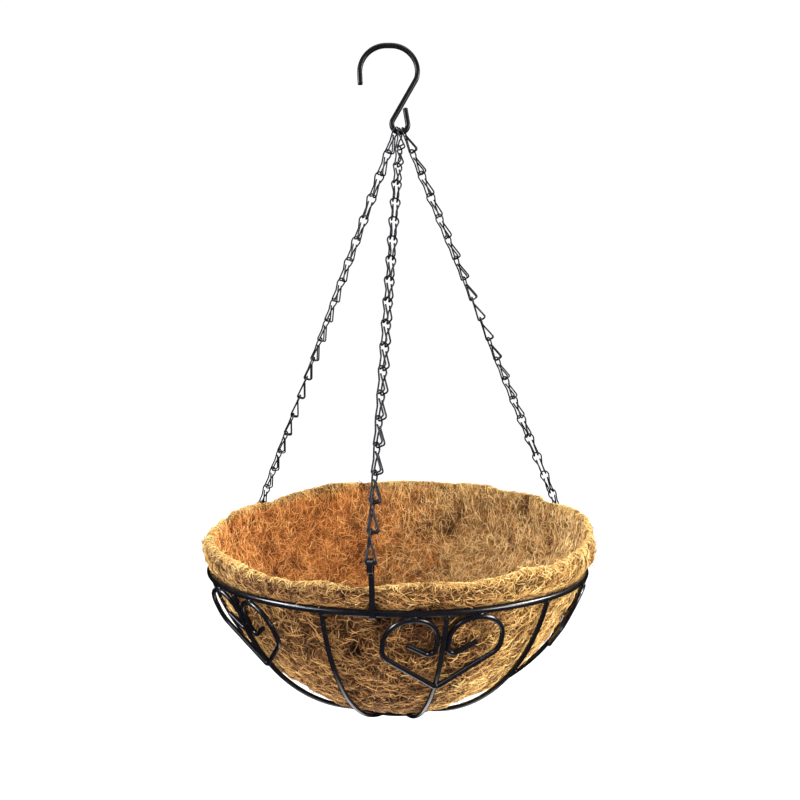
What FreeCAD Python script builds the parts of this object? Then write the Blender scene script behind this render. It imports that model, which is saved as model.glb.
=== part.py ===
"""Hanging basket: a wire bowl frame with heart scrolls and a coir liner, hung from an S-hook by three
chains of folded wire links. Millimetres, +Z up. The origin is where a ceiling hook would carry the
S-hook: the middle of its upper bow, inside. The front of the basket faces -Y."""

import FreeCAD, Part
import math
import os
from FreeCAD import Placement, Rotation, Vector

doc = FreeCAD.newDocument("hanging_basket")

SIZES = {
    # S-hook, one bent round wire in the XZ plane
    "hook_wire": 5.0,
    "hook_bow_width": 57.3,
    "hook_bow_bend": 26.0,
    "hook_bow_spread": 0.7,
    "hook_tip_inset": 1.5,
    "hook_tip_drop": 38.0,
    "hook_side_drop": 30.8,
    "hook_side_bend": 18.0,
    "hook_drop": 85.3,
    "hook_lower_shift": 12.2,
    "hook_lower_left": 14.2,
    "hook_lower_right": 8.7,
    "hook_lower_bend": 8.25,
    "hook_lower_tight": 7.25,
    "hook_short_leg": 23.3,
    "hook_short_lean": 4.6,
    # ring and ribs
    "ring_radius": 175.0,
    "ring_wire": 5.0,
    "ring_drop": 498.0,
    "rib_wire": 3.9,
    "rib_count": 12.0,
    "rib_first_angle": 12.0,
    "rib_top_depth": 1.0,
    "rib_mid_radius": 128.5,
    "rib_mid_depth": 79.1,
    "rib_end_radius": 42.9,
    "rib_end_depth": 128.6,
    "bottom_ring_wire": 4.0,
    # heart scrolls, half sizes across and depths down the leaning plane of the heart
    "heart_wire": 3.8,
    "heart_half_width": 45.0,
    "heart_length": 69.0,
    "heart_lobe_bend": 20.0,
    "heart_shoulder_depth": 33.0,
    "heart_shoulder_bend": 14.0,
    "heart_inner_side": 4.5,
    "heart_curl_depth": 38.5,
    "heart_curl_bend": 5.0,
    "heart_end_side": 26.5,
    "heart_end_depth": 24.0,
    "heart_top_radius": 174.6,
    "heart_top_depth": 4.1,
    "heart_lean": 27.2,
    # clips, folded from flat strip
    "clip_first_angle": -5.4,
    "clip_width": 4.0,
    "clip_gauge": 1.2,
    "clip_ring_bend": 3.4,
    "clip_eye_bend": 4.5,
    "clip_eye_radius": 190.0,
    "clip_eye_height": 37.0,
    "clip_hook_bend": 2.2,
    "clip_tab_end": 13.0,
    "clip_tab_length": 5.0,
    "clip_tab_bend": 3.0,
    "clip_tab_gap": 0.1,
    # chain links, each one folded wire
    "link_wire": 1.5,
    "links_per_chain": 19.0,
    "bulb_radius": 4.5,
    "bulb_depth": 5.4,
    "leg_side": 1.9,
    "neck_depth": 13.5,
    "leg_offset": 2.7,
    "fold_depth": 25.5,
    "fold_reach": 5.5,
    "fold_rise": 1.5,
    "fold_bend": 1.7,
    "neck_bend": 5.0,
    "shoulder_bend": 3.0,
    "free_end_depth": 7.8,
    "free_end_tuck": 0.3,
    "strap_offset": 1.1,
    "eye_slack": 1.3,
    "side_chain_lie": 31.0,
    "running_gap": 0.5,
    "twist_step": 18.0,
    "front_first_twist": 67.0,
    "front_end_twist": 84.6,
    "front_twist_ease": 1.4,
    "right_first_twist": 71.0,
    "right_end_twist": 204.6,
    "right_twist_ease": 1.15,
    "left_first_twist": 60.0,
    "left_end_twist": 144.6,
    "left_twist_ease": 1.25,
    # coir liner
    "liner_top_radius": 171.6,
    "liner_top_depth": 1.0,
    "liner_neck_height": 4.0,
    "liner_mid_radius": 125.4,
    "liner_mid_depth": 75.0,
    "liner_foot_radius": 62.0,
    "liner_foot_depth": 118.0,
    "liner_wall": 8.0,
    "lip_radius": 181.0,
    "lip_tube": 7.5,
    "lip_shift": 1.5,
    "lip_height": 32.5,
    "lip_tilt": 6.2,
}

PLACES = ("front", "right", "left")

sheet = doc.addObject("Spreadsheet::Sheet", "Sizes")
for row, (alias, value) in enumerate(SIZES.items(), start=1):
    sheet.set(f"A{row}", alias)
    sheet.set(f"B{row}", f"{value:g}")
    sheet.setAlias(f"B{row}", alias)
doc.recompute()


def size(alias):
    """The value of one cell of the sheet."""
    return float(getattr(sheet, alias))


def rounded_path(points, bends):
    """A wire of straight runs joined by tangent arcs; bends holds one radius per inner point."""
    points = [Vector(*p) for p in points]
    edges = []
    start = points[0]
    for before, corner, after, bend in zip(points, points[1:], points[2:], bends, strict=False):
        back = (before - corner).normalize()
        ahead = (after - corner).normalize()
        half_turn = (math.pi - back.getAngle(ahead)) / 2
        reach = bend * math.tan(half_turn)
        centre = corner + (back + ahead).normalize() * (bend / math.cos(half_turn))
        entry = corner + back * reach
        leave = corner + ahead * reach
        middle = centre + (corner - centre).normalize() * bend
        if (entry - start).Length > 1e-4:
            edges.append(Part.makeLine(start, entry))
        edges.append(Part.Arc(entry, middle, leave).toShape())
        start = leave
    if (points[-1] - start).Length > 1e-4:
        edges.append(Part.makeLine(start, points[-1]))
    return Part.Wire(edges)


def path_object(name, wire):
    """Keeps a wire in the document as the spine of a sweep."""
    spine = doc.addObject("Part::Feature", name)
    spine.Shape = wire
    return spine


def start_placement(wire):
    """Where a flat section stands square across the start of a wire."""
    edge = wire.OrderedEdges[0]
    first = edge.FirstParameter if edge.Orientation == "Forward" else edge.LastParameter
    along = edge.tangentAt(first)
    return Placement(wire.OrderedVertexes[0].Point, Rotation(Vector(0, 0, 1), along))


def swept(name, spine, section):
    """A solid swept along a spine; its label names its file."""
    body = doc.addObject("Part::Sweep", name)
    body.Sections = [section]
    body.Spine = (spine, [f"Edge{i + 1}" for i in range(len(spine.Shape.Edges))])
    body.Solid = True
    body.Frenet = False
    body.Label = name
    return body


def round_wire(name, wire, gauge):
    """A bent round wire whose thickness is a cell of the sheet."""
    spine = path_object(f"{name}_path", wire)
    section = doc.addObject("Part::Circle", f"{name}_section")
    section.Placement = start_placement(wire)
    section.setExpression("Radius", f"Sizes.{gauge} / 2")
    return swept(name, spine, section)


def torus(name, radius, gauge, depth):
    """A closed wire ring, bound to the sheet, that far below the basket ring's plane."""
    ring = doc.addObject("Part::Torus", name)
    ring.setExpression("Radius1", radius)
    ring.setExpression("Radius2", f"Sizes.{gauge} / 2")
    ring.Placement = Placement(basket_centre - Vector(0, 0, depth), Rotation())
    ring.Label = name
    return ring


def clip_angle(where):
    """How far round the basket that clip and its chain stand."""
    return size("clip_first_angle") + 120 * PLACES.index(where)


def outward(angle):
    """The level unit vector from the basket's axis at an angle from the front, to the right."""
    turn = math.radians(angle)
    return Vector(math.sin(turn), -math.cos(turn), 0)


lower_x = size("hook_lower_shift")
lower_z = size("hook_wire") / 2 - size("hook_drop")
basket_centre = Vector(lower_x, 0, -size("ring_drop"))


def s_hook():
    """The S-hook: a wide upper bow from the tip at the left, a long diagonal and a small lower U."""
    top = size("hook_wire") / 2
    half = size("hook_bow_width") / 2
    points = [
        (size("hook_tip_inset") - half, 0, top - size("hook_tip_drop")),
        (-half - size("hook_bow_spread"), 0, top),
        (half, 0, top),
        (half, 0, top - size("hook_side_drop")),
        (lower_x - size("hook_lower_left"), 0, lower_z),
        (lower_x + size("hook_lower_right"), 0, lower_z),
        (lower_x + size("hook_short_lean"), 0, lower_z + size("hook_short_leg")),
    ]
    bends = [
        size("hook_bow_bend"),
        size("hook_bow_bend"),
        size("hook_side_bend"),
        size("hook_lower_bend"),
        size("hook_lower_tight"),
    ]
    return round_wire("hook", rounded_path(points, bends), "hook_wire")


def ribs():
    """Ribs hang from the ring on one long arc and end on the bottom ring."""
    arc = Part.Arc(
        Vector(size("ring_radius"), 0, -size("rib_top_depth")),
        Vector(size("rib_mid_radius"), 0, -size("rib_mid_depth")),
        Vector(size("rib_end_radius"), 0, -size("rib_end_depth")),
    )
    count = int(size("rib_count"))
    made = []
    for i in range(count):
        angle = size("rib_first_angle") + 360 / count * i
        rib = round_wire(f"rib_{i + 1}", Part.Wire([arc.toShape()]), "rib_wire")
        rib.Placement = Placement(basket_centre, Rotation(Vector(0, 0, 1), angle - 90))
        made.append(rib)
    return made


def hearts():
    """One wire per heart: scroll end, inner side, lobe, shoulder, tip and back by its mirror."""
    half = [
        (size("heart_end_side"), size("heart_end_depth")),
        (size("heart_inner_side"), size("heart_curl_depth")),
        (size("heart_inner_side"), 0),
        (size("heart_half_width"), 0),
        (size("heart_half_width"), size("heart_shoulder_depth")),
    ]
    bends = [
        size("heart_curl_bend"),
        size("heart_lobe_bend"),
        size("heart_lobe_bend"),
        size("heart_shoulder_bend"),
    ]
    outline = half + [(0, size("heart_length"))] + [(-x, down) for x, down in reversed(half)]
    points = [(x, 0, -down) for x, down in outline]
    wire = rounded_path(points, bends + [size("heart_wire")] + bends[::-1])
    made = []
    for i in range(int(size("rib_count")) // 2):
        angle = size("rib_first_angle") + 720 / size("rib_count") * i
        heart = round_wire(f"heart_{i + 1}", wire, "heart_wire")
        top = outward(angle) * size("heart_top_radius") - Vector(0, 0, size("heart_top_depth"))
        turn = Rotation(Vector(0, 0, 1), angle) * Rotation(Vector(1, 0, 0), size("heart_lean"))
        heart.Placement = Placement(basket_centre + top, turn)
        made.append(heart)
    return made


def clip(name, angle):
    """A strip hooked round the ring and folded over into an eye above the liner's lip."""
    ring = size("clip_ring_bend")
    eye = size("clip_eye_bend")
    out = size("clip_eye_radius") - size("ring_radius")
    up = size("clip_eye_height")
    gauge = size("clip_gauge")
    lean = (out - eye - ring) / up
    tab_low = up - size("clip_tab_end")
    tab_high = tab_low + size("clip_tab_length")
    beside = ring + gauge + size("clip_tab_gap")
    hook_bend = size("clip_hook_bend")
    tight = eye - gauge / 2
    points = [
        (ring - hook_bend, 0, ring + gauge),
        (-ring, 0, ring),
        (-ring, 0, -ring),
        (ring, 0, -ring),
        (out - eye, 0, up + eye),
        (out + eye, 0, up + eye),
        (out + eye, 0, up - eye + gauge),
        (beside + lean * tab_high, 0, tab_high),
        (beside + lean * tab_low, 0, tab_low),
    ]
    bends = [hook_bend, ring, ring, tight, eye, tight, size("clip_tab_bend")]
    wire = rounded_path(points, bends)
    section = doc.addObject("Part::Plane", f"{name}_section")
    section.setExpression("Length", "Sizes.clip_gauge")
    section.setExpression("Width", "Sizes.clip_width")
    first, last = wire.OrderedEdges[0].Vertexes
    along = last.Point - first.Point
    turn = Rotation(Vector(0, 1, 0).cross(along), Vector(0, 1, 0), along, "ZYX")
    corner = turn.multVec(Vector(gauge / 2, size("clip_width") / 2, 0))
    section.Placement = Placement(wire.OrderedVertexes[0].Point - corner, turn)
    body = swept(name, path_object(f"{name}_path", wire), section)
    at = basket_centre + outward(angle) * size("ring_radius")
    body.Placement = Placement(at, Rotation(Vector(0, 0, 1), angle - 90))
    return body


def link_path():
    """One link: a bulb in the XZ plane, two legs that lean back, each folded forward into a hook."""
    side = size("leg_side")
    bulb = size("bulb_radius")
    slope = size("leg_offset") / size("fold_depth")
    half = [
        (side, -size("free_end_tuck"), -size("free_end_depth")),
        (side, size("fold_reach"), size("fold_rise") - size("fold_depth")),
        (side, -size("leg_offset"), -size("fold_depth")),
        (side, -slope * size("neck_depth"), -size("neck_depth")),
        (bulb, -slope * size("bulb_depth"), -size("bulb_depth")),
        (bulb, 0, 0),
    ]
    fold = size("fold_bend")
    bends = [fold, fold, size("neck_bend"), size("shoulder_bend"), bulb]
    points = half + [(-x, y, z) for x, y, z in reversed(half)]
    return rounded_path(points, bends + bends[::-1])


def chain_line(where):
    """Where the chain starts, its unit direction and its spacing, from the hook to the clip's eye."""
    angle = clip_angle(where)
    eye = basket_centre + outward(angle) * size("clip_eye_radius") + Vector(0, 0, size("clip_eye_height"))
    bottom = Vector(lower_x, 0, lower_z)
    down = (eye - bottom).normalize()
    bend = size("hook_lower_tight") if where == "right" else size("hook_lower_bend")
    lie = math.radians({"front": 0, "right": 1, "left": -1}[where] * size("side_chain_lie"))
    wire = bottom + Vector(math.sin(lie) * bend, 0, (1 - math.cos(lie)) * bend)
    last = frame_of(down, twist(where, int(size("links_per_chain"))))
    end = eye - last.multVec(Vector(0, size("strap_offset"), 0)) - down * size("eye_slack")
    down = (end - wire).normalize()
    above = (size("hook_wire") + size("link_wire")) / 2 + size("running_gap")
    slide = size("strap_offset") + size("leg_offset")
    rise = size("fold_rise") / (size("fold_reach") + size("leg_offset")) * slide
    span = (end - wire).Length + above - (size("fold_depth") - rise)
    return wire - down * above, down, span / (size("links_per_chain") - 1)


def twist(where, number):
    """How far a link is turned about its chain: the first lies across the hook's wire, and the last
    square in its clip."""
    steady = ((number - 1) / (size("links_per_chain") - 1)) ** size(f"{where}_twist_ease")
    easing = size(f"{where}_first_twist") - size("twist_step") * (number - 1)
    return max(steady * size(f"{where}_end_twist"), easing)


def frame_of(down, turn):
    """The rotation of a link: local -Z down the chain, local +Y the side that its hooks fold to."""
    across = (Vector(1, 0, 0) - down * down.x).normalize()
    front = down.cross(across)
    angle = math.radians(turn)
    fold = front * math.cos(angle) + across * math.sin(angle)
    side = front * math.sin(angle) - across * math.cos(angle)
    return Rotation(side, fold, -down, "ZXY")


def chains():
    """Each chain as runs of links that move together, the end links as nodes of their own."""
    master = round_wire("link_master", link_path(), "link_wire")
    doc.recompute()
    link = master.Shape
    runs = {"first_link": (1, 1), "upper_run": (2, 6), "middle_run": (7, 12), "lower_run": (13, 18),
            "last_link": (19, 19)}
    made = []
    for where in PLACES:
        top, down, pitch = chain_line(where)
        for run, (first, last) in runs.items():
            solids = []
            for number in range(first, last + 1):
                at = Placement(top + down * pitch * (number - 1), frame_of(down, twist(where, number)))
                copy = link.copy()
                copy.Placement = at
                solids.append(copy)
            node = doc.addObject("Part::Feature", f"chain_{where}_{run}")
            node.Shape = Part.makeCompound(solids) if len(solids) > 1 else solids[0]
            node.Label = f"chain_{where}_{run}"
            made.append(node)
    return made


def liner():
    """A bowl of coir with a thick rolled lip that stands higher at the back than at the front."""
    wall = size("liner_wall")
    top = size("liner_top_radius")
    mid = size("liner_mid_radius")
    mid_depth = size("liner_mid_depth")
    foot = size("liner_foot_radius")
    foot_depth = size("liner_foot_depth")
    top_depth = size("liner_top_depth")
    neck = size("liner_neck_height")
    flare = size("lip_radius") - 1
    high = 2 * size("lip_height")
    inward = wall * math.sqrt(0.5)
    outer = Part.Arc(Vector(top, 0, -top_depth), Vector(mid, 0, -mid_depth), Vector(foot, 0, -foot_depth))
    inner = Part.Arc(
        Vector(foot, 0, wall - foot_depth),
        Vector(mid - inward, 0, inward - mid_depth),
        Vector(top - wall, 0, -top_depth),
    )
    outline = Part.Wire([
        Part.makeLine(Vector(0, 0, wall - foot_depth), Vector(foot, 0, wall - foot_depth)),
        inner.toShape(),
        Part.makeLine(Vector(top - wall, 0, -top_depth), Vector(flare - wall, 0, high)),
        Part.makeLine(Vector(flare - wall, 0, high), Vector(flare, 0, high)),
        Part.makeLine(Vector(flare, 0, high), Vector(top, 0, neck)),
        Part.makeLine(Vector(top, 0, neck), Vector(top, 0, -top_depth)),
        outer.toShape(),
        Part.makeLine(Vector(foot, 0, -foot_depth), Vector(0, 0, -foot_depth)),
        Part.makeLine(Vector(0, 0, -foot_depth), Vector(0, 0, wall - foot_depth)),
    ])
    profile = path_object("liner_profile", Part.Face(outline))
    bowl = doc.addObject("Part::Revolution", "liner_bowl")
    bowl.Source = profile
    bowl.Axis = Vector(0, 0, 1)
    bowl.Angle = 360
    above = doc.addObject("Part::Box", "liner_above")
    for side in ("Length", "Width", "Height"):
        above.setExpression(side, "Sizes.lip_radius * 3")
    tilt = Rotation(Vector(1, 0, 0), size("lip_tilt"))
    corner = Vector(1, 1, 0) * (size("lip_radius") * -1.5)
    above.Placement = Placement(Vector(0, 0, size("lip_height")) + tilt.multVec(corner), tilt)
    trimmed = doc.addObject("Part::Cut", "liner_trimmed")
    trimmed.Base = bowl
    trimmed.Tool = above
    lip = doc.addObject("Part::Torus", "liner_lip")
    lip.setExpression("Radius1", "Sizes.lip_radius")
    lip.setExpression("Radius2", "Sizes.lip_tube")
    lip.Placement = Placement(Vector(size("lip_shift"), 0, size("lip_height")), tilt)
    whole = doc.addObject("Part::Fuse", "liner_whole")
    whole.Base = trimmed
    whole.Tool = lip
    tools = [pocket for where in PLACES for pocket in liner_pockets(where)]
    pockets = doc.addObject("Part::MultiFuse", "liner_pockets")
    pockets.Shapes = tools
    body = doc.addObject("Part::Cut", "liner")
    body.Base = whole
    body.Tool = pockets
    body.Label = "liner"
    body.Placement = Placement(basket_centre, Rotation())
    return body


def liner_pockets(where):
    """Room pressed into the lip by a clip and by the chain that leans in above it."""
    angle = clip_angle(where)
    _, down, _ = chain_line(where)
    eye = outward(angle) * size("clip_eye_radius") + Vector(0, 0, size("clip_eye_height"))
    beside = doc.addObject("Part::Cylinder", f"liner_chain_pocket_{where}")
    beside.Radius = 2 * size("bulb_radius")
    beside.Height = 2 * size("clip_eye_height")
    beside.Placement = Placement(eye + down * size("bulb_radius"), Rotation(Vector(0, 0, 1), -down))
    width = size("clip_width") + 1
    bend = size("clip_ring_bend")
    wrap = doc.addObject("Part::Box", f"liner_wrap_pocket_{where}")
    wrap.Length = 4 * bend
    wrap.Width = width
    wrap.Height = 4 * bend
    slot = doc.addObject("Part::Box", f"liner_clip_pocket_{where}")
    slot.Length = 8 * bend
    slot.Width = width
    slot.Height = size("clip_eye_height") + 3 * size("clip_eye_bend")
    turn = Rotation(Vector(0, 0, 1), angle - 90)
    middle = turn.multVec(Vector(0, width / 2, 0))
    inside = outward(angle) * (size("ring_radius") - bend - size("clip_gauge"))
    wrap.Placement = Placement(inside - middle - Vector(0, 0, 2 * bend), turn)
    behind = outward(angle) * (size("ring_radius") + bend - size("clip_gauge"))
    out = size("clip_eye_radius") - size("ring_radius") - size("clip_eye_bend") - bend
    lean = math.degrees(math.atan2(out, size("clip_eye_height")))
    slot.Placement = Placement(behind - middle, turn * Rotation(Vector(0, 1, 0), lean))
    return [beside, wrap, slot]


parts = [s_hook(), torus("ring", "Sizes.ring_radius", "ring_wire", 0)]
parts.append(torus("bottom_ring", "Sizes.rib_end_radius", "bottom_ring_wire", size("rib_end_depth")))
parts += ribs()
parts += hearts()
parts += [clip(f"clip_{where}", clip_angle(where)) for where in PLACES]
parts += chains()
parts.append(liner())
doc.recompute()

failed = [o.Name for o in doc.Objects if "Invalid" in o.State or "Error" in o.State]
if failed:
    raise RuntimeError(f"these objects failed: {failed}")
for part in parts:
    if part.Shape.isNull() or not part.Shape.isValid():
        raise RuntimeError(f"{part.Label} has no valid shape")

os.makedirs("parts", exist_ok=True)
for part in parts:
    part.Shape.exportStep(f"parts/{part.Label}.step")
    box = part.Shape.BoundBox
    print(f"{part.Label}: {len(part.Shape.Solids)} solids, {part.Shape.Volume:.0f} mm3, "
          f"z {box.ZMin:.1f} to {box.ZMax:.1f}")
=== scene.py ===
"""Looks of the hanging basket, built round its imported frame. Metres, +Z up, the front faces -Y.
The wire frame, clips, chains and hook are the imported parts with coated-metal materials. The liner
is rebuilt as a lumpy felt of coir matted over with fibres, and the welds of the frame are added."""

import itertools
import math

import bpy
import numpy as np
from mathutils import Matrix, Vector


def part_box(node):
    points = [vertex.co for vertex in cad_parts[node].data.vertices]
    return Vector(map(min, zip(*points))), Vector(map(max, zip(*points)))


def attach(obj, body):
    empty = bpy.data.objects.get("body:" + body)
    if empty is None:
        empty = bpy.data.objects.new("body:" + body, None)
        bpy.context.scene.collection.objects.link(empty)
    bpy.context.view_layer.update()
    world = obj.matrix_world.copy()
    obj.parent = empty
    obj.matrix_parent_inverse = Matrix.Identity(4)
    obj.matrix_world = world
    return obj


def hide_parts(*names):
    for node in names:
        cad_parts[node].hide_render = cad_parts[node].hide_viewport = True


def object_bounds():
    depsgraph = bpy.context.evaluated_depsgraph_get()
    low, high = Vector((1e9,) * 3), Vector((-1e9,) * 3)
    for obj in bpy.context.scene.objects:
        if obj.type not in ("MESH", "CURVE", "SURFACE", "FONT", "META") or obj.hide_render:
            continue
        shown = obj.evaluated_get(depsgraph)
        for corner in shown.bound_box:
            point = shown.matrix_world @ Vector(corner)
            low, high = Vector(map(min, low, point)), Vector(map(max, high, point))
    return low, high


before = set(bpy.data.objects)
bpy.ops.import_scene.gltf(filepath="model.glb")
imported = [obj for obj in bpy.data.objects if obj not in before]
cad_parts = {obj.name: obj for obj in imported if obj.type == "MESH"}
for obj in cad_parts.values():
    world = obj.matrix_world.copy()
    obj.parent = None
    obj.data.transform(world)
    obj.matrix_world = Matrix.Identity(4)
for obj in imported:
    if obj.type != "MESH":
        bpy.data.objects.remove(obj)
cad_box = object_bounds()
rng = np.random.default_rng(14)

MM = 0.001
CLIPS = ("clip_front", "clip_right", "clip_left")

# The basket ring gives the axis and level that everything else is measured from
ring_low, ring_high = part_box("ring")
AXIS_X = (ring_low.x + ring_high.x) / 2
RING_Z = (ring_low.z + ring_high.z) / 2
RING_WIRE = ring_high.z - ring_low.z
RING_RADIUS = (ring_high.x - ring_low.x - RING_WIRE) / 2
LINER_DEPTH = RING_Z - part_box("liner")[0].z
RIB_COUNT = sum(name.startswith("rib_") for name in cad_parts)
HEART_COUNT = sum(name.startswith("heart_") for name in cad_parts)


def around(point):
    """The angle of a point round the basket's axis, from the front and to the right."""
    return math.atan2(point.x - AXIS_X, -point.y)


def middle(node):
    """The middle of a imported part's box."""
    low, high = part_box(node)
    return (low + high) / 2


CLIP_TURNS = [around(middle(name)) for name in CLIPS]
FIRST_RIB_TURN = math.radians(12)


# ---------------------------------------------------------------- smooth noise

CELLS = 48
LATTICE = rng.uniform(-1, 1, (CELLS, CELLS, CELLS))


def lumps(points, across):
    """Smooth noise from -1 to 1 at each point, whose lumps are about that far across."""
    cell = points / across
    base = np.floor(cell).astype(int)
    part = cell - base
    part = part * part * (3 - 2 * part)
    total = np.zeros(len(points))
    for corner in itertools.product((0, 1), repeat=3):
        i, j, k = ((base + corner) % CELLS).T
        total += np.prod(np.where(corner, part, 1 - part), axis=1) * LATTICE[i, j, k]
    return total


def ease(value):
    """From 0 to 1 with soft ends."""
    value = np.clip(value, 0, 1)
    return value * value * (3 - 2 * value)


# ---------------------------------------------------------------- the liner's shape

CREST = 40 * MM  # the lip's height in the section, which is then scaled round the basket
WALL = 8.5 * MM


def arc_through(first, second, third, count):
    """Points along the circle through three points."""
    (ax, ay), (bx, by), (cx, cy) = first, second, third
    twice = 2 * (ax * (by - cy) + bx * (cy - ay) + cx * (ay - by))
    sa, sb, sc = ax * ax + ay * ay, bx * bx + by * by, cx * cx + cy * cy
    ox = (sa * (by - cy) + sb * (cy - ay) + sc * (ay - by)) / twice
    oy = (sa * (cx - bx) + sb * (ax - cx) + sc * (bx - ax)) / twice
    start = math.atan2(ay - oy, ax - ox)
    end = math.atan2(cy - oy, cx - ox)
    angles = np.linspace(start, end, count)
    radius = math.hypot(ax - ox, ay - oy)
    return np.stack([ox + radius * np.cos(angles), oy + radius * np.sin(angles)], 1)


def evenly(points, step):
    """The same line with points that far apart, and the distance along it at each."""
    gaps = np.linalg.norm(np.diff(points, axis=0), axis=1)
    along = np.concatenate([[0], np.cumsum(gaps)])
    count = int(round(along[-1] / step)) + 1
    at = np.linspace(0, along[-1], count)
    return np.stack([np.interp(at, along, points[:, i]) for i in (0, 1)], 1), at


def liner_section():
    """The liner's section, as radius and height above the ring, from the foot outside over the lip
    to the floor inside."""
    foot, waist, waist_depth = 62 * MM, 125.4 * MM, 75 * MM
    mouth = RING_RADIUS - 3.4 * MM
    floor_height = WALL - LINER_DEPTH
    slant = WALL * math.sqrt(0.5)
    inner_waist = (waist - slant, slant - waist_depth)
    outer = arc_through((foot, -LINER_DEPTH), (waist, -waist_depth), (mouth, -MM), 60)
    lip = np.array([
        (171.7, 3), (173.6, 7.5), (177.6, 13), (180.4, 21), (181.2, 30), (180, 36.5), (177, 40),
        (174.2, 38), (172.3, 32), (170.6, 22), (167, 8),
    ]) * MM
    inner = arc_through((mouth - WALL, -MM), inner_waist, (foot, floor_height), 60)
    whole = np.concatenate([[(0, -LINER_DEPTH)], outer, lip, inner, [(0, floor_height)]])
    line, _ = evenly(whole, MM)
    reach, softness = 9, 3
    kernel = np.exp(-0.5 * (np.arange(-reach, reach + 1) / softness) ** 2)
    kernel /= kernel.sum()
    padded = np.pad(line, ((reach, reach), (0, 0)), mode="edge")
    smooth = np.stack([np.convolve(padded[:, i], kernel, "valid") for i in (0, 1)], 1)
    smooth[[0, -1]] = line[[0, -1]]
    return evenly(smooth, MM)


SECTION, ALONG = liner_section()
# Distances along the section: all of it, to the lip's crest, to just inside that, and to the ring
SECTION_LENGTH = ALONG[-1]
CREST_ALONG = ALONG[np.argmax(SECTION[:, 1])]
OVER_CREST = CREST_ALONG + 9 * MM
RING_ALONG = ALONG[np.argmax(SECTION[:, 1] > 0)]


def crest_height(turn):
    """The lip stands higher at the back than at the front, and its edge wanders."""
    wander = 1.2 * np.sin(4 * turn + 0.6) + 0.9 * np.sin(7 * turn + 2) + 0.6 * np.sin(13 * turn)
    tilt = 39.4 - 20 * np.cos(turn) + 3.6 * np.sin(turn) + 1.1 * np.cos(2 * turn)
    return (tilt + wander) * MM


def lip_lean(turn):
    """How much further out than usual the lip leans."""
    wander = 0.8 * np.sin(4 * turn + 1) + 0.5 * np.sin(9 * turn)
    return (2.2 * np.sin(turn) - 0.8 * np.cos(turn) + wander) * MM


def gap_to(turn, turns, radius):
    """The distance round the basket to the nearest of some angles."""
    gaps = [np.abs((turn - other + math.pi) % (2 * math.pi) - math.pi) for other in turns]
    return np.min(gaps, axis=0) * radius


RIB_TURNS = [FIRST_RIB_TURN + math.tau / RIB_COUNT * i for i in range(RIB_COUNT)]

# The liner keeps behind the clips' straps, which start this far outside the ring's line and below
# it and lean outward, and it is hollowed this deep inside the ring's line for their lower bends
STRAP_OUT, STRAP_BELOW, STRAP_LEAN = 1.8 * MM, 3.4 * MM, 0.158
HOLLOW_DEPTH = 6.4 * MM
SIDE_PRESS = 7 * MM  # how far the two side chains pull the lip in


def smooth_skin(turn, along):
    """Points of the liner before its lumps, for arrays of angles and distances along the section."""
    radius = np.interp(along, ALONG, SECTION[:, 0])
    height = np.interp(along, ALONG, SECTION[:, 1])
    radius = radius + ease(height / (22 * MM)) * lip_lean(turn)
    height = np.where(height > 0, height * crest_height(turn) / CREST, height)
    pressed = np.exp(-(gap_to(turn, CLIP_TURNS[1:], RING_RADIUS) / (15 * MM)) ** 2)
    radius = radius - SIDE_PRESS * pressed * ease(height / (30 * MM))
    clip_gap = gap_to(turn, CLIP_TURNS, RING_RADIUS)
    beside_clip = np.exp(-(clip_gap / (5.5 * MM)) ** 4)
    strap = RING_RADIUS + STRAP_OUT + STRAP_LEAN * (height + STRAP_BELOW)
    over = np.maximum(0, radius - strap) * (height > -6 * MM) * (along < OVER_CREST)
    radius = radius - over * beside_clip
    hollow = np.exp(-(clip_gap / (5 * MM)) ** 6)
    hollow = hollow * np.exp(-(height / (8.5 * MM)) ** 4) * (along < CREST_ALONG)
    radius = radius - hollow * np.maximum(0, radius - RING_RADIUS + HOLLOW_DEPTH)
    x = AXIS_X + radius * np.sin(turn)
    y = -radius * np.cos(turn)
    return np.stack([x, y, RING_Z + height], -1)


def skin_frame(turn, along):
    """Points of the smooth liner, with the unit vectors out of it."""
    tiny = 0.5 * MM
    here = smooth_skin(turn, along)
    down = smooth_skin(turn, along + tiny) - smooth_skin(turn, along - tiny)
    level = np.stack([np.cos(turn), np.sin(turn), np.zeros_like(turn)], -1)
    out = np.cross(level, down)
    out /= np.linalg.norm(out, axis=-1, keepdims=True) + 1e-12
    return here, out


def dents(point):
    """Where the mat is dented or creased, from 0 to 1."""
    stretched = point * (1, 1, 0.55)
    return ease((lumps(stretched, 17 * MM) - 0.50) / 0.25)


def skin(turns, alongs):
    """The liner's lumpy surface with its outward unit vectors. No lump swells where a rib, the ring
    or a clip holds the mat."""
    turn, along = turns.ravel(), alongs.ravel()
    here, out = skin_frame(turn, along)
    lump = (1.5 * lumps(here, 34 * MM) + 1.2 * lumps(here, 13 * MM) + 0.8 * lumps(here, 6 * MM)) * MM
    lump = lump - 1.6 * MM * dents(here)
    outside = ease((RING_ALONG - along) / (12 * MM))
    by_rib = np.exp(-(gap_to(turn, RIB_TURNS, 120 * MM) / (9 * MM)) ** 2)
    lump = lump - outside * by_rib * np.maximum(lump, 0) * 0.9
    by_ring = np.exp(-((along - RING_ALONG) / (10 * MM)) ** 4)
    by_clip = np.exp(-(gap_to(turn, CLIP_TURNS, RING_RADIUS) / (7 * MM)) ** 2)
    lump = lump - np.maximum(lump, 0) * np.maximum(by_ring, by_clip * (along < OVER_CREST))
    point = here + out * lump[:, None]
    return point.reshape(*turns.shape, 3), out.reshape(*turns.shape, 3)


# ---------------------------------------------------------------- colours of the coir, with painted light and shade

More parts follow.
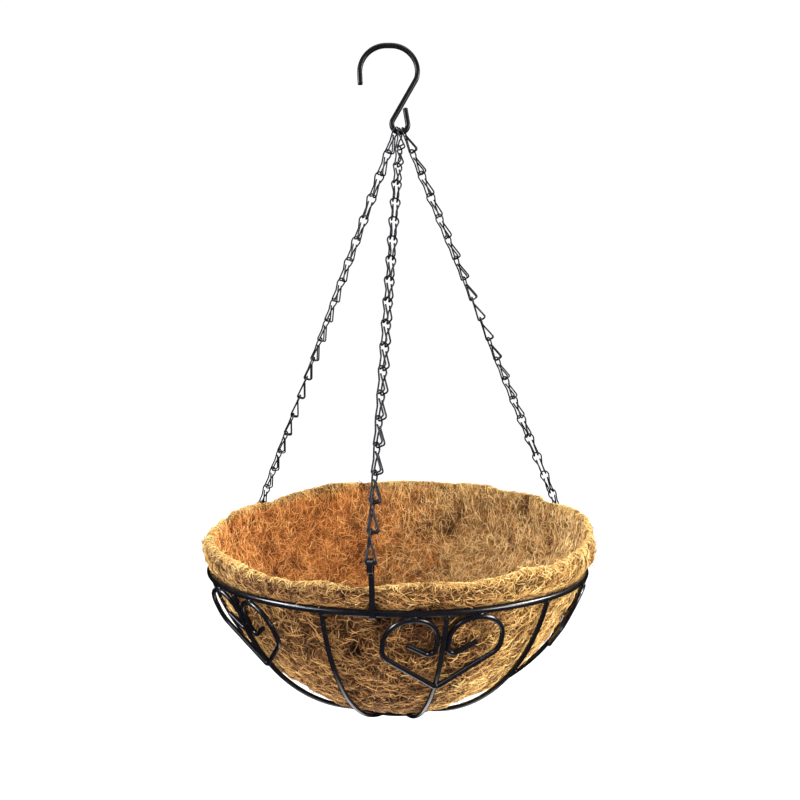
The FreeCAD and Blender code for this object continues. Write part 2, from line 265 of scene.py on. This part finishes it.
RAMPS = {  # dark, middle and light fibres of each region, linear colours
    "orange": ((0.170, 0.050, 0.010), (0.700, 0.260, 0.060), (0.960, 0.520, 0.170)),
    "tan": ((0.130, 0.056, 0.016), (0.760, 0.410, 0.140), (0.990, 0.750, 0.350)),
    "gold": ((0.120, 0.050, 0.013), (0.620, 0.345, 0.096), (0.940, 0.690, 0.280)),
    "brown": ((0.016, 0.007, 0.003), (0.180, 0.076, 0.026), (0.620, 0.330, 0.115)),
}
TONES = 7
# How golden the lip and the outside are round the basket, by degrees from the front to the right:
# partly the coir's own gold and partly painted light from the side lamps, least at the front
GOLD_LIGHT_TURNS = (-180, -90, -55, -38, -20, 0, 20, 38, 90, 180)
LIP_GOLD_AND_LIGHT = (0.55, 0.42, 0.38, 0.10, 0.0, 0.05, 0.40, 0.95, 0.35, 0.55)
OUTSIDE_GOLD_AND_LIGHT = (0.25, 0.25, 0.22, 0.10, 0.0, 0.0, 0.15, 0.70, 0.75, 0.25)


def ramp_colour(ramp, share):
    """The colour that far along a ramp, from 0 to 1."""
    stops = np.array(RAMPS[ramp])
    share = np.clip(share, 0, 1)
    return np.stack([np.interp(share, (0, 0.5, 1), stops[:, i]) for i in range(3)], -1)


def region_mix(point, along):
    """How much of each ramp shows at points of the liner: orange inside at the left, partly painted
    bounce light, tan inside at the right, gold on the lip's top and, partly as painted side light,
    round the lip and outside, and brown elsewhere outside."""
    x = point[:, 0] - AXIS_X
    degrees = np.degrees(np.arctan2(x, -point[:, 1])) + 14 * lumps(point, 22 * MM)
    patch = 25 * MM * lumps(point, 40 * MM)
    top = ease(1.2 - np.abs(along - CREST_ALONG) / (8 * MM))
    inside = ease((along - CREST_ALONG) / (8 * MM)) * (1 - top)
    right = ease(0.5 + (x + patch - 5 * MM) / (150 * MM))
    lip = ease((along - RING_ALONG) / (5 * MM))
    # Gold round the basket is partly coir colour and partly painted light from the side lamps
    outside_gold_and_light = np.interp(degrees, GOLD_LIGHT_TURNS, OUTSIDE_GOLD_AND_LIGHT)
    gold_and_light = (1 - lip) * outside_gold_and_light + lip * np.interp(degrees, GOLD_LIGHT_TURNS, LIP_GOLD_AND_LIGHT)
    outside = (1 - top) * (1 - inside)
    return {
        "gold": top + outside * gold_and_light,
        # The orange at the left inside is partly painted bounce light over the coir's tan
        "orange": inside * (1 - right),
        "tan": inside * right,
        "brown": outside * (1 - gold_and_light),
    }


def coir_tone_and_painted_shade(point):
    """Patches of lighter and darker coir about a half, with painted shade in the dents and under the
    bowl.
    """
    broad = 0.13 * lumps(point, 38 * MM) + 0.17 * lumps(point, 14 * MM) + 0.16 * lumps(point, 6 * MM)
    # Painted shade: darker in the dents and creases, and towards the bottom under the bowl
    painted_shade_under_bowl = ease((RING_Z - 55 * MM - point[:, 2]) / (60 * MM))
    return 0.5 + broad - 0.3 * dents(point) - 0.16 * painted_shade_under_bowl


# ---------------------------------------------------------------- mesh helpers


def mesh_object(name, points, faces, tones=None, materials=()):
    """An object from arrays of points and of faces that all have the same number of corners."""
    mesh = bpy.data.meshes.new(name)
    corners = faces.shape[1]
    mesh.vertices.add(len(points))
    mesh.vertices.foreach_set("co", points.astype(np.float32).ravel())
    mesh.loops.add(faces.size)
    mesh.loops.foreach_set("vertex_index", faces.astype(np.int32).ravel())
    mesh.polygons.add(len(faces))
    mesh.polygons.foreach_set("loop_start", np.arange(0, faces.size, corners, dtype=np.int32))
    for material in materials:
        mesh.materials.append(material)
    if tones is not None:
        mesh.polygons.foreach_set("material_index", tones.astype(np.int32))
    mesh.update(calc_edges=True)
    mesh.shade_smooth()
    piece = bpy.data.objects.new(name, mesh)
    bpy.context.scene.collection.objects.link(piece)
    return piece


# ---------------------------------------------------------------- materials


class Nodes:
    """A material's node tree, with short ways to add nodes and join them."""

    def __init__(self, name):
        self.material = bpy.data.materials.new(name)
        self.material.use_nodes = True
        self.tree = self.material.node_tree
        self.shader = self.tree.nodes["Principled BSDF"]

    def add(self, kind, **settings):
        """A new node with some of its properties set."""
        node = self.tree.nodes.new(kind)
        for name, value in settings.items():
            setattr(node, name, value)
        return node

    def join(self, source, target):
        """A link from an output to an input."""
        self.tree.links.new(source, target)

    def noise(self, vector, scale, detail=2.0, roughness=0.5):
        """Noise at a vector, about 0.5 in the middle."""
        node = self.add("ShaderNodeTexNoise")
        node.inputs["Scale"].default_value = scale
        node.inputs["Detail"].default_value = detail
        node.inputs["Roughness"].default_value = roughness
        self.join(vector, node.inputs["Vector"])
        return node.outputs["Fac"]

    def ranged(self, source, low, high, to_low, to_high):
        """A value taken from one range to another, and held there."""
        node = self.add("ShaderNodeMapRange")
        limits = {"From Min": low, "From Max": high, "To Min": to_low, "To Max": to_high}
        for name, value in limits.items():
            node.inputs[name].default_value = value
        self.join(source, node.inputs["Value"])
        return node.outputs["Result"]

    def maths(self, operation, first, second):
        """A sum, product or the like of two sockets or numbers."""
        node = self.add("ShaderNodeMath", operation=operation)
        for socket, source in zip(node.inputs, (first, second)):
            if isinstance(source, (int, float)):
                socket.default_value = source
            else:
                self.join(source, socket)
        return node.outputs["Value"]

    def blend(self, share, first, second, mode="MIX"):
        """Two colours mixed, each of them a socket or linear red, green and blue."""
        node = self.add("ShaderNodeMix", data_type="RGBA", blend_type=mode)
        for name, source in (("Factor", share), ("A", first), ("B", second)):
            socket = next(s for s in node.inputs if s.name == name and s.enabled)
            if isinstance(source, (int, float)):
                socket.default_value = source
            elif isinstance(source, tuple):
                socket.default_value = (*source, 1)
            else:
                self.join(source, socket)
        return next(s for s in node.outputs if s.enabled)

    def bump(self, height, distance, strength=1.0):
        """Relief on the surface from a height."""
        node = self.add("ShaderNodeBump")
        node.inputs["Strength"].default_value = strength
        node.inputs["Distance"].default_value = distance
        self.join(height, node.inputs["Height"])
        self.join(node.outputs["Normal"], self.shader.inputs["Normal"])


def coated_metal(name, colour, worn, roughness, specular, bare):
    """Black coating over wire: faint orange peel, uneven gloss, and scuffs of a worn colour, more of
    them the barer it is."""
    nodes = Nodes(name)
    place = nodes.add("ShaderNodeTexCoord").outputs["Object"]
    clouds = nodes.noise(place, 90, 4)
    peel = nodes.noise(place, 900, 2)
    specks = nodes.noise(place, 300, 4, 0.6)
    scuffs = nodes.ranged(specks, 0.66 - bare, 0.80 - bare, 0, 1)
    dusty = nodes.ranged(clouds, 0.4, 0.75, 0, 0.3)
    tint = nodes.blend(dusty, colour, tuple(1.8 * c + 0.002 for c in colour))
    tint = nodes.blend(scuffs, tint, worn)
    nodes.join(tint, nodes.shader.inputs["Base Color"])
    gloss = nodes.ranged(clouds, 0.3, 0.7, roughness * 0.85, roughness * 1.25)
    dulled = nodes.maths("ADD", gloss, nodes.maths("MULTIPLY", scuffs, 0.2))
    nodes.join(dulled, nodes.shader.inputs["Roughness"])
    nodes.bump(peel, 0.015 * MM, 0.5)
    nodes.shader.inputs["Specular IOR Level"].default_value = specular
    return nodes.material


def felt_material():
    """The coir under the loose fibres: crossing strands pressed together, with painted shade in
    between.
    """
    nodes = Nodes("coir_felt")
    place = nodes.add("ShaderNodeUVMap", uv_map="grain").outputs["UV"]
    strands = None
    for turn in (12, 58, 101, 149):
        mapping = nodes.add("ShaderNodeMapping")
        mapping.inputs["Rotation"].default_value = (0, 0, math.radians(turn))
        mapping.inputs["Scale"].default_value = (1000, 160, 1)
        nodes.join(place, mapping.inputs["Vector"])
        layer = nodes.ranged(nodes.noise(mapping.outputs["Vector"], 1, 3, 0.6), 0.5, 0.68, 0, 1)
        strands = layer if strands is None else nodes.maths("MAXIMUM", strands, layer)
    tone = nodes.add("ShaderNodeAttribute", attribute_name="tone").outputs["Color"]
    grit = nodes.noise(nodes.add("ShaderNodeTexCoord").outputs["Object"], 260, 4)
    depth = nodes.maths("MULTIPLY", strands, nodes.ranged(grit, 0.3, 0.7, 0.6, 1))
    # Painted shade in the gaps between the strands
    dark = nodes.blend(1.0, tone, (0.22, 0.18, 0.16), "MULTIPLY")
    nodes.join(nodes.blend(depth, dark, tone), nodes.shader.inputs["Base Color"])
    nodes.bump(strands, 0.5 * MM)
    nodes.shader.inputs["Roughness"].default_value = 0.9
    nodes.shader.inputs["Specular IOR Level"].default_value = 0.1
    return nodes.material


def fibre_materials():
    """One material for each tone of fibre, a ramp at a time."""
    made = []
    for ramp in RAMPS:
        for tone in range(TONES):
            nodes = Nodes(f"coir_{ramp}_{tone + 1}")
            colour = ramp_colour(ramp, tone / (TONES - 1))
            nodes.shader.inputs["Base Color"].default_value = (*colour, 1)
            nodes.shader.inputs["Roughness"].default_value = 0.62
            nodes.shader.inputs["Specular IOR Level"].default_value = 0.12
            made.append(nodes.material)
    return made


# ---------------------------------------------------------------- the liner

FELT_DEPTH = 0.7 * MM  # the felt lies this far under the line that the fibres follow
# The felt's darkening is painted shade in the gaps between the fibres
FELT_PAINTED_SHADE = 0.16  # how much darker it is along each ramp
GRAIN_RADIUS = 150 * MM  # the liner's radius as its grain is laid out flat


def paint(piece, points, along):
    """The coir's colour at each point of the felt, with painted shade between the fibres, as an
    attribute that its material reads.
    """
    mix = region_mix(points, along)
    level = coir_tone_and_painted_shade(points) - FELT_PAINTED_SHADE
    colour = sum(ramp_colour(ramp, level) * mix[ramp][:, None] for ramp in RAMPS)
    attribute = piece.data.attributes.new("tone", "FLOAT_COLOR", "POINT")
    attribute.data.foreach_set("color", np.column_stack([colour, np.ones(len(colour))]).ravel())


def lay_grain(piece, faces, turn, along):
    """Flat coordinates of the felt, round the basket and along its section, in metres."""
    corner = faces.ravel()
    angle = turn[corner].reshape(-1, 3)
    angle = np.where(angle.max(1, keepdims=True) - angle > math.pi, angle + math.tau, angle)
    grain = np.stack([angle.ravel() * GRAIN_RADIUS, along[corner]], -1)
    layer = piece.data.uv_layers.new(name="grain")
    layer.data.foreach_set("uv", grain.astype(np.float32).ravel())


def felt():
    """The body of the liner, one closed skin: rows of points round it, and a point at each end."""
    turns, rows, margin = 480, 204, 2.5 * MM
    turn = np.linspace(0, math.tau, turns, endpoint=False)
    along = np.linspace(margin, SECTION_LENGTH - margin, rows)
    grid_along, grid_turn = np.meshgrid(along, turn, indexing="ij")
    points, out = skin(grid_turn, grid_along)
    points = (points - FELT_DEPTH * out).reshape(-1, 3)
    first, last = smooth_skin(np.zeros(2), np.array([0, SECTION_LENGTH]))
    points = np.concatenate([points, [first, last]])
    index = np.arange(rows * turns).reshape(rows, turns)
    here, ahead = index[:-1], index[1:]
    quads = np.stack([here, np.roll(here, -1, 1), np.roll(ahead, -1, 1), ahead], -1).reshape(-1, 4)
    faces = np.concatenate([quads[:, [0, 1, 2]], quads[:, [0, 2, 3]]])
    foot = np.stack([np.full(turns, rows * turns), np.roll(index[0], -1), index[0]], -1)
    floor = np.stack([np.full(turns, rows * turns + 1), index[-1], np.roll(index[-1], -1)], -1)
    faces = np.concatenate([faces, foot, floor])
    piece = mesh_object("liner_felt", points, faces, materials=[felt_material()])
    whole_along = np.concatenate([grid_along.ravel(), [0, SECTION_LENGTH]])
    paint(piece, points, whole_along)
    lay_grain(piece, faces, np.concatenate([grid_turn.ravel(), [0, 0]]), whole_along)
    return piece


FIBRES = 5000  # in one piece, whose exported file then stays small
FIBRE_POINTS = 8
FIBRE_SIDES = 3


def fibre_faces():
    """Triangles of one fibre: a tip, rings of corners and a tip."""
    rings = FIBRE_POINTS - 2
    tip = rings * FIBRE_SIDES
    faces = []
    for side in range(FIBRE_SIDES):
        after = (side + 1) % FIBRE_SIDES
        faces.append((tip, after, side))
        for ring in range(rings - 1):
            low, high = ring * FIBRE_SIDES, (ring + 1) * FIBRE_SIDES
            faces.append((low + side, low + after, high + after))
            faces.append((low + side, high + after, high + side))
        end = (rings - 1) * FIBRE_SIDES
        faces.append((end + side, end + after, tip + 1))
    return np.array(faces)


def section_radius(along):
    """The liner's radius that far along, but never so small that a fibre would spin round."""
    return np.maximum(np.interp(along, ALONG, SECTION[:, 0]), 30 * MM)


def walk(turn, along, angle, curl, step):
    """Angles round the basket and distances along the section of each fibre's points, as it sets out
    at an angle to the section and curls."""
    turns, alongs = [], []
    for _ in range(FIBRE_POINTS):
        turns.append(turn)
        alongs.append(along)
        radius = section_radius(along)
        along = np.clip(along + step * np.cos(angle), 4 * MM, SECTION_LENGTH - 4 * MM)
        turn = turn + step * np.sin(angle) / radius
        angle = angle + curl * step
    return np.stack(turns, 1), np.stack(alongs, 1)


def arches(up, rise):
    """Heights of each fibre's points: an arch with its ends in the felt, and a tip that may rise."""
    share = np.linspace(0, 1, FIBRE_POINTS)
    arch = up[:, None] * np.sin(math.pi * share) ** 0.5
    sunk = FELT_DEPTH * (np.abs(2 * share - 1) > 0.99)
    return arch - sunk + rise[:, None] * share ** 2.5


def tubes(line, out, thick):
    """Corners of thin tubes along lines of points, drawn to a tip at both ends."""
    ahead = np.gradient(line, axis=1)
    ahead /= np.linalg.norm(ahead, axis=2, keepdims=True) + 1e-12
    side = np.cross(ahead, out)
    side /= np.linalg.norm(side, axis=2, keepdims=True) + 1e-12
    lifted = np.cross(side, ahead)
    corners = []
    for i in range(FIBRE_SIDES):
        bearing = math.tau * i / FIBRE_SIDES + math.pi / 2
        offset = side * math.cos(bearing) + lifted * math.sin(bearing)
        corners.append(line[:, 1:-1] + offset[:, 1:-1] * thick[:, None, None])
    rings = np.stack(corners, 2).reshape(len(line), -1, 3)
    return np.concatenate([rings, line[:, [0, -1]]], 1)


def fibres(name, lowest, highest, spread, length, width, lift, stray, materials):
    """Loose fibres on one band of the liner, from lowest to highest along its section. They head
    along the section, give or take spread. A few stray ones stand up out of the mat."""
    along = rng.uniform(lowest, highest, FIBRES * 2)
    keep = rng.uniform(0, 180 * MM, len(along)) < section_radius(along)
    along = along[keep][:FIBRES]
    count = len(along)
    turn = rng.uniform(0, math.tau, count)
    angle = rng.normal(0, spread, count)
    curl = rng.normal(0, 75, count)
    long = np.clip(length * rng.lognormal(0, 0.4, count), 6 * MM, 60 * MM)
    thick = width * rng.lognormal(0, 0.28, count) / 2
    up = lift * rng.uniform(0.1, 1, count)
    rise = np.where(rng.uniform(0, 1, count) < stray, rng.uniform(1.5, 6, count) * MM, 0)
    turns, alongs = walk(turn, along, angle, curl, long / (FIBRE_POINTS - 1))
    by_clip = np.exp(-(gap_to(turns, CLIP_TURNS, RING_RADIUS) / (7 * MM)) ** 4)
    by_ring = np.exp(-((alongs - RING_ALONG) / (7 * MM)) ** 2)
    ups = arches(up, rise) * (1 - 0.7 * np.maximum(by_ring, by_clip))
    base, out = skin(turns, alongs)
    points = tubes(base + out * ups[..., None], out, thick)
    centre = base[:, FIBRE_POINTS // 2]
    mix = region_mix(centre, alongs[:, FIBRE_POINTS // 2])
    chance = np.cumsum(np.stack([mix[ramp] for ramp in RAMPS], 1), 1)
    ramp = (rng.uniform(0, 1, count)[:, None] * chance[:, -1:] > chance).sum(1)
    # Fibres low in the mat get painted shade, and high ones a painted lighter tone
    level = coir_tone_and_painted_shade(centre) + rng.normal(0, 0.28, count) + 0.6 * (up / lift - 0.55)
    tone = ramp * TONES + np.clip(np.round(level * (TONES - 1)), 0, TONES - 1)
    pattern = fibre_faces()
    faces = (np.arange(count)[:, None, None] * points.shape[1] + pattern).reshape(-1, 3)
    return mesh_object(name, points.reshape(-1, 3), faces, np.repeat(tone, len(pattern)), materials)


def liner():
    """Felt and fibres, in pieces that stay small enough to export whole."""
    body = felt()
    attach(body, "basket")
    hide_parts("liner")
    tones = fibre_materials()
    start, end = 8 * MM, SECTION_LENGTH - 8 * MM
    bands = [  # pieces, lowest, highest, spread, length, width, lift, stray
        ("outside", 7, start, RING_ALONG + 4 * MM, 1.5, 10 * MM, 0.48 * MM, 1.1 * MM, 0.012),
        ("lip", 4, RING_ALONG, OVER_CREST, 1.0, 8.5 * MM, 0.43 * MM, 1.2 * MM, 0.03),
        ("inside", 7, CREST_ALONG, end, 2.6, 9 * MM, 0.44 * MM, 0.9 * MM, 0.008),
    ]
    for band, pieces, *settings in bands:
        for number in range(1, pieces + 1):
            piece = fibres(f"liner_fibres_{band}_{number}", *settings, tones)
            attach(piece, "basket")


liner()

# ---------------------------------------------------------------- the metal

COATINGS = {}
for kind, colour, worn, roughness, specular, bare in (
    ("black", (0.004, 0.004, 0.006), (0.020, 0.018, 0.017), 0.22, 0.36, 0.0),
    ("hook", (0.004, 0.004, 0.005), (0.014, 0.013, 0.012), 0.32, 0.10, 0.0),
    ("chain", (0.008, 0.008, 0.011), (0.050, 0.036, 0.028), 0.32, 0.13, 0.02),
):
    COATINGS[kind] = coated_metal(f"{kind}_coating", colour, worn, roughness, specular, bare)
for name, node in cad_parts.items():
    if name != "liner":
        node.data.materials.clear()
        node.data.materials.append(COATINGS.get(name.split("_")[0], COATINGS["black"]))


def ball():
    """Points and triangles of a ball of radius 1."""
    bpy.ops.mesh.primitive_ico_sphere_add(subdivisions=3, radius=1)
    piece = bpy.context.object
    points = np.array([vertex.co for vertex in piece.data.vertices])
    faces = np.array([face.vertices for face in piece.data.polygons])
    bpy.data.objects.remove(piece)
    return points, faces


WELD_BALL, BALL_FACES = ball()

# Sizes of the welds across, outward and up: a rib at the ring and at the bottom ring, and a heart's
# lobe at the ring and its point at the rib
RIB_WELD = (5.6 * MM, 3.9 * MM, 3.2 * MM)
FOOT_WELD = (5.4 * MM, 4.2 * MM, 3.8 * MM)
LOBE_WELD = (6.5 * MM, 3.4 * MM, 2.4 * MM)
TIP_WELD = (4.6 * MM, 4.2 * MM, 4.4 * MM)


def bead(place, size, turn):
    """Points of one small lump of weld, with its sizes across, outward and up, at an angle."""
    sphere = WELD_BALL * (1 + 0.10 * lumps(WELD_BALL + place / MM, 0.7))[:, None]
    across = np.array([math.cos(turn), math.sin(turn), 0])
    outward = np.array([math.sin(turn), -math.cos(turn), 0])
    axes = np.stack([across, outward, (0, 0, 1)])
    return place + (sphere * np.array(size) / 2) @ axes


def corners_of(name):
    """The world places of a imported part's vertices."""
    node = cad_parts[name]
    flat = np.empty(len(node.data.vertices) * 3)
    node.data.vertices.foreach_get("co", flat)
    matrix = np.array(node.matrix_world)
    return flat.reshape(-1, 3) @ matrix[:3, :3].T + matrix[:3, 3]


def weld_beads():
    """Places, sizes and angles of the welds, ribs to both rings and hearts to ring and rib."""
    beads = []
    foot_low, foot_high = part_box("bottom_ring")
    foot_radius = (foot_high.x - foot_low.x - RING_WIRE) / 2
    foot_z = (foot_low.z + foot_high.z) / 2
    for turn in RIB_TURNS:
        outward = np.array([math.sin(turn), -math.cos(turn), 0])
        axis = np.array([AXIS_X, 0, 0])
        top = axis + outward * (RING_RADIUS - 0.2 * MM) + (0, 0, RING_Z - RING_WIRE * 0.55)
        low = axis + outward * foot_radius + (0, 0, foot_z + RING_WIRE * 0.1)
        beads.append((top, RIB_WELD, turn))
        beads.append((low, FOOT_WELD, turn))
    for number in range(1, HEART_COUNT + 1):
        corners = corners_of(f"heart_{number}")
        turn = around(middle(f"heart_{number}"))
        along = (corners[:, 0] - AXIS_X) * math.cos(turn) + corners[:, 1] * math.sin(turn)
        for side in (-1, 1):
            lobe = corners[along * side > 4 * MM]
            crown = lobe[lobe[:, 2] > lobe[:, 2].max() - 0.5 * MM].mean(0)
            beads.append((crown + (0, 0, 0.2 * MM), LOBE_WELD, turn))
        tip = corners[corners[:, 2] < corners[:, 2].min() + 2.5 * MM].mean(0)
        beads.append((tip + (0, 0, 1.2 * MM), TIP_WELD, turn))
    return beads


def welds():
    """All the welds of the basket's frame as one piece."""
    points, faces = [], []
    for place, size, turn in weld_beads():
        faces.append(BALL_FACES + len(points) * len(WELD_BALL))
        points.append(bead(place, size, turn))
    metal = [COATINGS["black"]]
    piece = mesh_object("welds", np.concatenate(points), np.concatenate(faces), materials=metal)
    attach(piece, "basket")


welds()

# ---------------------------------------------------------------- floor, light and camera


def floor():
    """A wide pale floor under the basket."""
    bpy.ops.mesh.primitive_circle_add(vertices=96, radius=9, fill_type="NGON")
    piece = bpy.context.object
    piece.name = "studio_floor"
    piece.location = (AXIS_X, 0, cad_box[0].z - 0.22)
    nodes = Nodes("studio_floor")
    nodes.shader.inputs["Base Color"].default_value = (0.96, 0.96, 0.96, 1)
    nodes.shader.inputs["Roughness"].default_value = 1
    nodes.shader.inputs["Specular IOR Level"].default_value = 0
    nodes.shader.inputs["Emission Color"].default_value = (1, 1, 1, 1)
    nodes.shader.inputs["Emission Strength"].default_value = 0.12
    piece.data.materials.append(nodes.material)
    piece.visible_glossy = False


def area_light(name, place, target, size, power, colour=(1, 1, 1), gloss_only=False):
    """A square soft light that faces a point. One for gloss only puts highlights on the wire."""
    light = bpy.data.lights.new(name, "AREA")
    light.size = size
    light.energy = power
    light.color = colour
    lamp = bpy.data.objects.new(name, light)
    lamp.location = place
    lamp.rotation_euler = (Vector(target) - Vector(place)).to_track_quat("-Z", "Y").to_euler()
    lamp.visible_diffuse = not gloss_only
    lamp.visible_camera = not gloss_only
    bpy.context.scene.collection.objects.link(lamp)


def studio():
    """Soft white light from all round, with lamps at both sides and above. The coating mirrors the
    lamps, and not the white floor or the white all round, so it stays black between highlights."""
    world = bpy.data.worlds.new("studio")
    bpy.context.scene.world = world
    world.use_nodes = True
    background = world.node_tree.nodes["Background"]
    background.inputs["Color"].default_value = (1, 1, 1, 1)
    background.inputs["Strength"].default_value = 1.04
    world.cycles_visibility.glossy = False
    target = (AXIS_X, 0, RING_Z)
    area_light("right_light", (1.3, -0.8, RING_Z + 0.45), target, 0.50, 26, (1, 0.97, 0.93))
    area_light("left_light", (-1.1, -0.9, RING_Z + 0.5), target, 0.45, 13, (0.88, 0.93, 1))
    area_light("right_gloss", (1.4, -0.1, RING_Z + 0.85), target, 0.5, 55, gloss_only=True)
    area_light("left_gloss", (-1.3, -0.4, RING_Z + 0.9), target, 0.5, 55, (0.85, 0.91, 1),
               gloss_only=True)
    area_light("under_gloss", (AXIS_X, -0.02, RING_Z - 0.33), target, 0.22, 0.45, gloss_only=True)
    area_light("top_light", (0.1, -0.2, RING_Z + 1.3), target, 0.7, 12)
    bpy.context.scene.view_settings.view_transform = "Standard"


def camera():
    """A camera in front of the basket, a little above its ring."""
    lens = bpy.data.cameras.new("camera")
    lens.lens = 30.84
    lens.sensor_width = 36
    view = bpy.data.objects.new("camera", lens)
    view.location = (AXIS_X + 3.8 * MM, -0.6636, RING_Z + 0.1446)
    yaw, pitch, roll = (math.radians(angle) for angle in (0.23, 90.86, 0.32))
    aim = Matrix.Rotation(yaw, 3, "Z") @ Matrix.Rotation(pitch, 3, "X")
    view.rotation_euler = (aim @ Matrix.Rotation(roll, 3, "Z")).to_euler()
    bpy.context.scene.collection.objects.link(view)
    bpy.context.scene.camera = view


floor()
studio()
camera()
